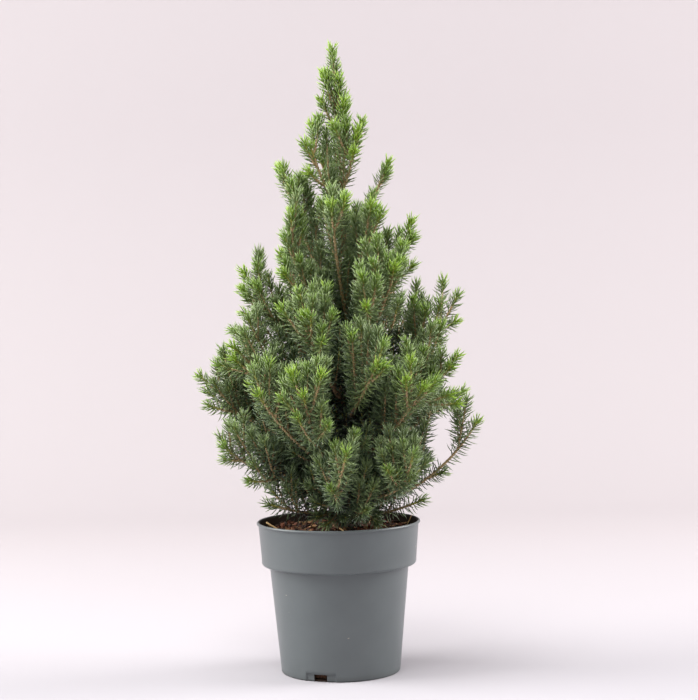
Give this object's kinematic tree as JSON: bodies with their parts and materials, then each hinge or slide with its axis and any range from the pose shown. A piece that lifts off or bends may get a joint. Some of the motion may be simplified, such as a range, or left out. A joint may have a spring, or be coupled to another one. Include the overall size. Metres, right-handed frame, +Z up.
{
  "type": "potted dwarf alberta spruce",
  "caption": "Young cone-shaped dwarf spruce with upswept needled shoots, in a tapered round plastic nursery pot with a deep collar.",
  "frame": {"origin": "centre of the pot's flat underside, on the ground", "axes": "+Z up along the trunk, -Y towards the viewer, +X to the viewer's right"},
  "size_m": [0.2568, 0.255, 0.573],
  "materials": {
    "pot_plastic": "matte grey injection-moulded plastic, faintly scuffed",
    "potting_mix": "dark red-brown bark and coir mix with straw bits",
    "bark": "rough orange-brown young bark",
    "needles": "green needles, yellow-green at the shoot tips"
  },
  "bodies": {
    "root": {"pot": "pot_plastic", "soil": "potting_mix", "trunk": "bark", "bough_skirt_1": "bark", "bough_skirt_2": "bark", "bough_skirt_3": "bark", "bough_skirt_4": "bark", "bough_skirt_5": "bark", "bough_skirt_6": "bark", "bough_lower_1": "bark", "bough_lower_2": "bark", "bough_lower_3": "bark", "bough_lower_4": "bark", "bough_lower_5": "bark", "bough_lower_6": "bark", "bough_lower_7": "bark", "bough_middle_1": "bark", "bough_middle_2": "bark", "bough_middle_3": "bark", "bough_middle_4": "bark", "bough_middle_5": "bark", "bough_middle_6": "bark", "bough_middle_7": "bark", "needles_skirt_1": "needles", "needles_skirt_2": "needles", "needles_skirt_3": "needles", "needles_skirt_4": "needles", "needles_skirt_5": "needles", "needles_skirt_6": "needles", "needles_lower_1": "needles", "needles_lower_2": "needles", "needles_lower_3": "needles", "needles_lower_4": "needles", "needles_lower_5": "needles", "needles_lower_6": "needles", "needles_lower_7": "needles", "needles_middle_1": "needles", "needles_middle_2": "needles", "needles_middle_3": "needles", "needles_middle_4": "needles", "needles_middle_5": "needles", "needles_middle_6": "needles", "needles_middle_7": "needles", "spray_1": "needles", "spray_2": "needles", "spray_3": "needles", "spray_4": "needles", "spray_5": "needles", "spray_6": "needles", "spray_7": "needles", "spray_8": "needles", "spray_9": "needles", "spray_10": "needles", "spray_11": "needles", "spray_12": "needles", "spray_13": "needles", "spray_14": "needles", "spray_15": "needles", "spray_16": "needles", "leader": "needles"}
  },
  "joints": []
}
